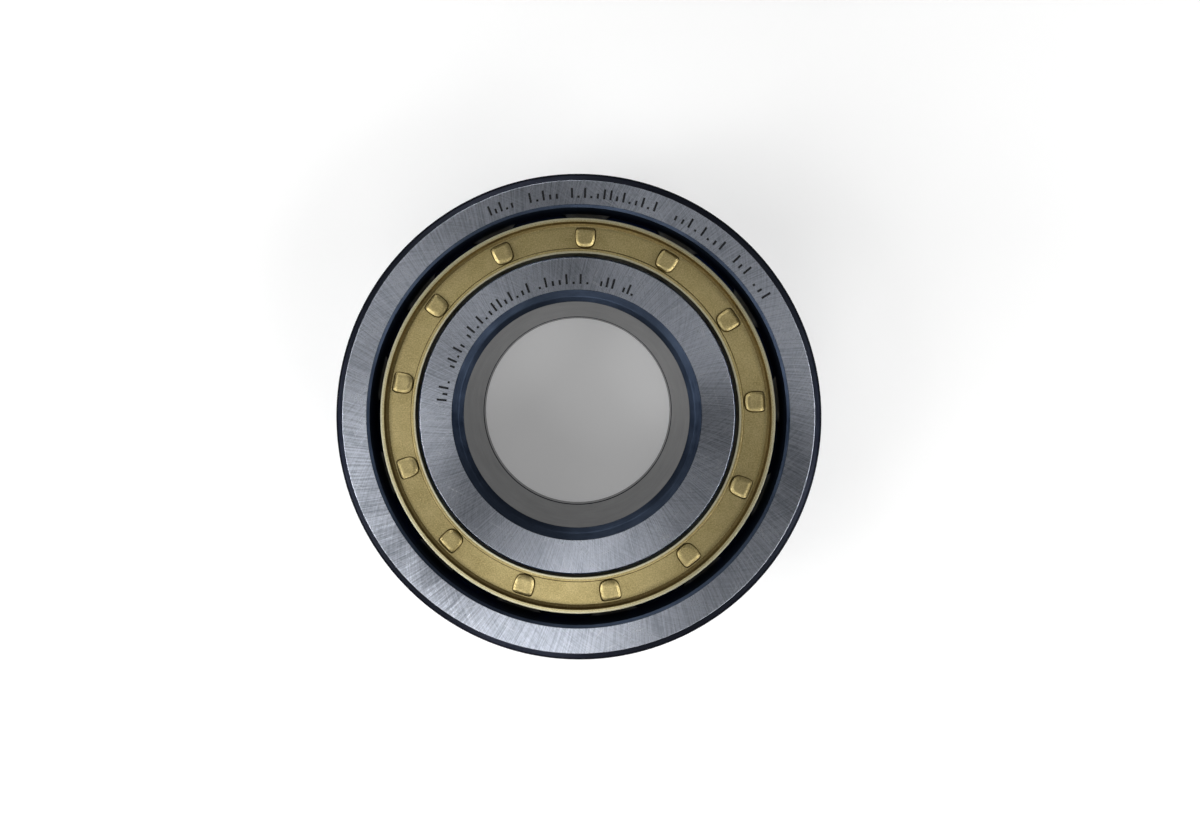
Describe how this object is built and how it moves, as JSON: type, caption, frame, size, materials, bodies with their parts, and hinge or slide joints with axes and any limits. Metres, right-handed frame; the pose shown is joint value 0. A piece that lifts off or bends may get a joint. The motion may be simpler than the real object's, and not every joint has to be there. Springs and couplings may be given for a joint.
{
  "type": "cylindrical roller bearing",
  "caption": "Single-row cylindrical roller bearing with ribbed rings, a loose side rib and a solid riveted brass cage.",
  "frame": {"origin": "centre of the bearing, on its axis, halfway between the side faces", "axes": "+Z along the bearing axis towards the side with the riveted cage cover, +X and +Y radial"},
  "size_m": [0.14, 0.14, 0.048],
  "materials": {
    "ring_steel": "fine ground hardened bearing steel with dark honed chamfers",
    "roller_steel": "superfinished hardened bearing steel",
    "cage_brass": "blasted solid brass with machined rims"
  },
  "bodies": {
    "outer_ring": {"outer_ring": "ring_steel"},
    "loose_rib": {"loose_rib": "ring_steel"},
    "inner_ring": {"inner_ring": "ring_steel"},
    "cage": {"cage_body": "cage_brass", "cage_cover": "cage_brass"},
    "roller_01": {"roller_01": "roller_steel"},
    "roller_02": {"roller_02": "roller_steel"},
    "roller_03": {"roller_03": "roller_steel"},
    "roller_04": {"roller_04": "roller_steel"},
    "roller_05": {"roller_05": "roller_steel"},
    "roller_06": {"roller_06": "roller_steel"},
    "roller_07": {"roller_07": "roller_steel"},
    "roller_08": {"roller_08": "roller_steel"},
    "roller_09": {"roller_09": "roller_steel"},
    "roller_10": {"roller_10": "roller_steel"},
    "roller_11": {"roller_11": "roller_steel"},
    "roller_12": {"roller_12": "roller_steel"},
    "roller_13": {"roller_13": "roller_steel"}
  },
  "joints": [
    {"name": "inner_ring_spin", "type": "hinge", "parent": "outer_ring", "child": "loose_rib", "pos_m": [0, 0, 0], "axis": [0, 0, 1], "continuous": true},
    {"name": "inner_ring_lift", "type": "slide", "parent": "loose_rib", "child": "inner_ring", "axis": [0, 0, 1], "range_m": [0, 0.042]},
    {"name": "cage_spin", "type": "hinge", "parent": "outer_ring", "child": "cage", "pos_m": [0, 0, 0], "axis": [0, 0, 1], "continuous": true},
    {"name": "roller_01_spin", "type": "hinge", "parent": "cage", "child": "roller_01", "pos_m": [0.01504, 0.04952, 0], "axis": [0, 0, 1], "continuous": true},
    {"name": "roller_02_spin", "type": "hinge", "parent": "cage", "child": "roller_02", "pos_m": [0.03633, 0.03685, 0], "axis": [0, 0, 1], "continuous": true},
    {"name": "roller_03_spin", "type": "hinge", "parent": "cage", "child": "roller_03", "pos_m": [0.04929, 0.01575, 0], "axis": [0, 0, 1], "continuous": true},
    {"name": "roller_04_spin", "type": "hinge", "parent": "cage", "child": "roller_04", "pos_m": [0.05097, -0.00896, 0], "axis": [0, 0, 1], "continuous": true},
    {"name": "roller_05_spin", "type": "hinge", "parent": "cage", "child": "roller_05", "pos_m": [0.04096, -0.03162, 0], "axis": [0, 0, 1], "continuous": true},
    {"name": "roller_06_spin", "type": "hinge", "parent": "cage", "child": "roller_06", "pos_m": [0.02158, -0.04704, 0], "axis": [0, 0, 1], "continuous": true},
    {"name": "roller_07_spin", "type": "hinge", "parent": "cage", "child": "roller_07", "pos_m": [-0.00275, -0.05168, 0], "axis": [0, 0, 1], "continuous": true},
    {"name": "roller_08_spin", "type": "hinge", "parent": "cage", "child": "roller_08", "pos_m": [-0.02645, -0.04448, 0], "axis": [0, 0, 1], "continuous": true},
    {"name": "roller_09_spin", "type": "hinge", "parent": "cage", "child": "roller_09", "pos_m": [-0.04409, -0.02709, 0], "axis": [0, 0, 1], "continuous": true},
    {"name": "roller_10_spin", "type": "hinge", "parent": "cage", "child": "roller_10", "pos_m": [-0.05163, -0.0035, 0], "axis": [0, 0, 1], "continuous": true},
    {"name": "roller_11_spin", "type": "hinge", "parent": "cage", "child": "roller_11", "pos_m": [-0.04734, 0.0209, 0], "axis": [0, 0, 1], "continuous": true},
    {"name": "roller_12_spin", "type": "hinge", "parent": "cage", "child": "roller_12", "pos_m": [-0.03221, 0.04051, 0], "axis": [0, 0, 1], "continuous": true},
    {"name": "roller_13_spin", "type": "hinge", "parent": "cage", "child": "roller_13", "pos_m": [-0.00969, 0.05083, 0], "axis": [0, 0, 1], "continuous": true}
  ],
  "couplings": [
    {"joint": "cage_spin", "follows": "inner_ring_spin", "ratio": 0.39855},
    {"joint": "roller_01_spin", "follows": "inner_ring_spin", "ratio": -2.3628},
    {"joint": "roller_02_spin", "follows": "inner_ring_spin", "ratio": -2.3628},
    {"joint": "roller_03_spin", "follows": "inner_ring_spin", "ratio": -2.3628},
    {"joint": "roller_04_spin", "follows": "inner_ring_spin", "ratio": -2.3628},
    {"joint": "roller_05_spin", "follows": "inner_ring_spin", "ratio": -2.3628},
    {"joint": "roller_06_spin", "follows": "inner_ring_spin", "ratio": -2.3628},
    {"joint": "roller_07_spin", "follows": "inner_ring_spin", "ratio": -2.3628},
    {"joint": "roller_08_spin", "follows": "inner_ring_spin", "ratio": -2.3628},
    {"joint": "roller_09_spin", "follows": "inner_ring_spin", "ratio": -2.3628},
    {"joint": "roller_10_spin", "follows": "inner_ring_spin", "ratio": -2.3628},
    {"joint": "roller_11_spin", "follows": "inner_ring_spin", "ratio": -2.3628},
    {"joint": "roller_12_spin", "follows": "inner_ring_spin", "ratio": -2.3628},
    {"joint": "roller_13_spin", "follows": "inner_ring_spin", "ratio": -2.3628}
  ]
}
